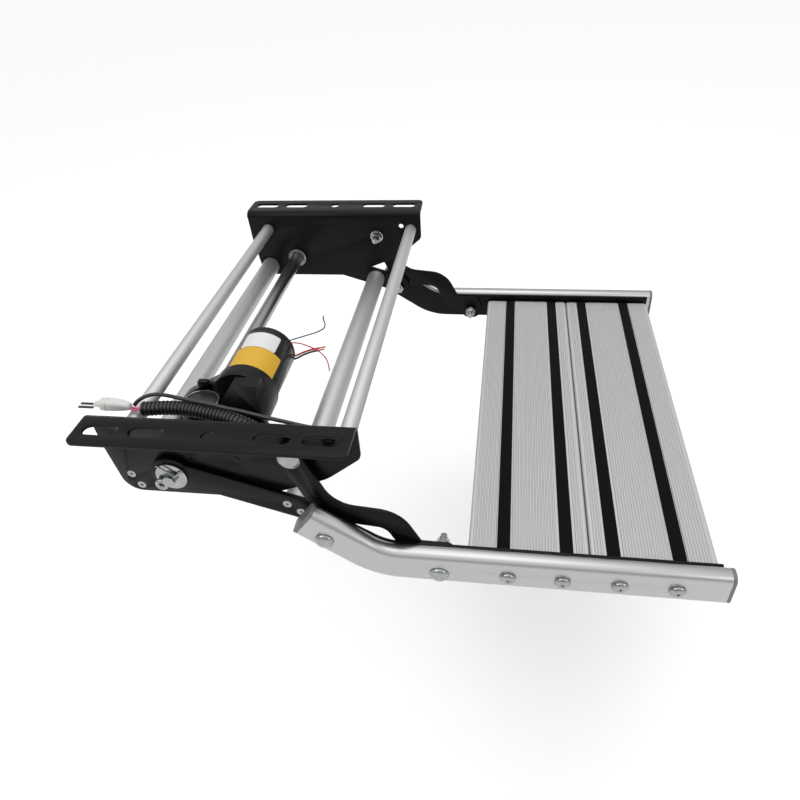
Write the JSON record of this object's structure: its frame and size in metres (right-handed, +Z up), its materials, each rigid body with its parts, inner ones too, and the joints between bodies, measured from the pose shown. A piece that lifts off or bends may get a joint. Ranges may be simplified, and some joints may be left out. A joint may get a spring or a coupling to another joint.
{
  "type": "caravan pull out step",
  "caption": "Electric caravan entrance step with flanged side plates, cross tubes, a geared motor and a swan-neck linkage that folds a ridged aluminium tread under the floor.",
  "frame": {"origin": "middle of the mounting-slot pattern, on the tops of the two mounting flanges", "axes": "+X out of the vehicle, the way the tread comes out; +Y towards the side plate away from the motor; +Z up"},
  "size_m": [0.7035, 0.626, 0.199],
  "materials": {
    "black_coat": "satin powder coat",
    "satin_aluminium": "satin anodised",
    "plank_aluminium": "extruded, ridged",
    "zinc_steel": "bright zinc",
    "gear_steel": "machined",
    "motor_black": "gloss black",
    "casting_black": "black casting",
    "copper_winding": "copper",
    "magnet_grey": "sintered",
    "grip_black": "ribbed grip strip",
    "cap_grey": "moulded",
    "black_plastic": "moulded",
    "white_plastic": "moulded nylon",
    "pink_wire": "wire insulation",
    "red_wire": "wire insulation",
    "black_wire": "wire insulation"
  },
  "bodies": {
    "frame": {"near_side_plate": "black_coat", "far_side_plate": "black_coat", "rear_upper_tube": "satin_aluminium", "front_upper_tube": "satin_aluminium", "rear_lower_tube": "satin_aluminium", "upper_tube_screws": "zinc_steel", "lower_tube_screws": "zinc_steel", "shaft_bushes": "zinc_steel", "pivot_bolts": "zinc_steel", "pivot_spacers": "zinc_steel", "pivot_nuts": "zinc_steel", "motor_can": "motor_black", "motor_end_cap": "motor_black", "motor_magnets": "magnet_grey", "motor_clamp_band": "zinc_steel", "reducer_unit": "gear_steel", "gearbox_housing": "casting_black", "gearbox_cover": "casting_black", "gearbox_screws": "black_coat", "gearbox_posts": "black_coat", "grease_cap": "black_plastic", "grease_cap_ring": "zinc_steel", "conduit": "black_plastic", "conduit_gland": "black_plastic", "connector": "white_plastic", "connector_blades": "gear_steel", "connector_wires": "pink_wire", "control_cable": "black_wire", "cable_grommet": "grip_black", "motor_wire_black": "black_wire", "motor_wire_red": "red_wire", "motor_lead_black": "black_wire", "motor_lead_red": "red_wire", "lead_ends": "copper_winding"},
    "rotor": {"motor_rotor": "copper_winding"},
    "pinion": {"drive_pinion": "gear_steel"},
    "drive": {"drive_shaft": "gear_steel", "output_gear": "gear_steel", "near_link": "black_coat", "far_link": "black_coat", "tie_tube": "satin_aluminium", "tie_tube_screws": "zinc_steel", "shaft_washers": "zinc_steel", "split_pins": "zinc_steel"},
    "arms": {"near_arm": "black_coat", "far_arm": "black_coat", "arm_nuts": "zinc_steel"},
    "tread": {"near_rail": "satin_aluminium", "far_rail": "satin_aluminium", "rail_caps": "cap_grey", "near_bracket": "black_coat", "far_bracket": "black_coat", "inner_plank": "plank_aluminium", "outer_plank": "plank_aluminium", "inner_grip_strips": "grip_black", "outer_grip_strips": "grip_black", "plank_screws": "zinc_steel", "plank_spacers": "black_plastic", "rail_bolts": "zinc_steel", "link_nuts": "zinc_steel"}
  },
  "joints": [
    {"name": "fold", "type": "hinge", "parent": "frame", "child": "drive", "pos_m": [-0.069, 0, -0.08], "axis": [0, 1, 0], "range_deg": [0, 120]},
    {"name": "arm_swing", "type": "hinge", "parent": "frame", "child": "arms", "pos_m": [0.0725, 0, -0.041], "axis": [0, 1, 0], "range_deg": [0, 93]},
    {"name": "tread_turn", "type": "hinge", "parent": "drive", "child": "tread", "pos_m": [0.103, 0, -0.137], "axis": [0, 1, 0], "range_deg": [-144.4, 0]},
    {"name": "pinion_spin", "type": "hinge", "parent": "frame", "child": "pinion", "pos_m": [-0.01602, 0, -0.05183], "axis": [0, 1, 0], "range_deg": [-120, 0]},
    {"name": "rotor_spin", "type": "hinge", "parent": "frame", "child": "rotor", "pos_m": [-0.01602, 0, -0.05183], "axis": [0, 1, 0], "range_deg": [-4320, 0]}
  ],
  "couplings": [
    {"joint": "arm_swing", "follows": "fold", "ratio": 0.7749},
    {"joint": "tread_turn", "follows": "fold", "ratio": -1.2028},
    {"joint": "pinion_spin", "follows": "fold", "ratio": -1},
    {"joint": "rotor_spin", "follows": "fold", "ratio": -36}
  ]
}
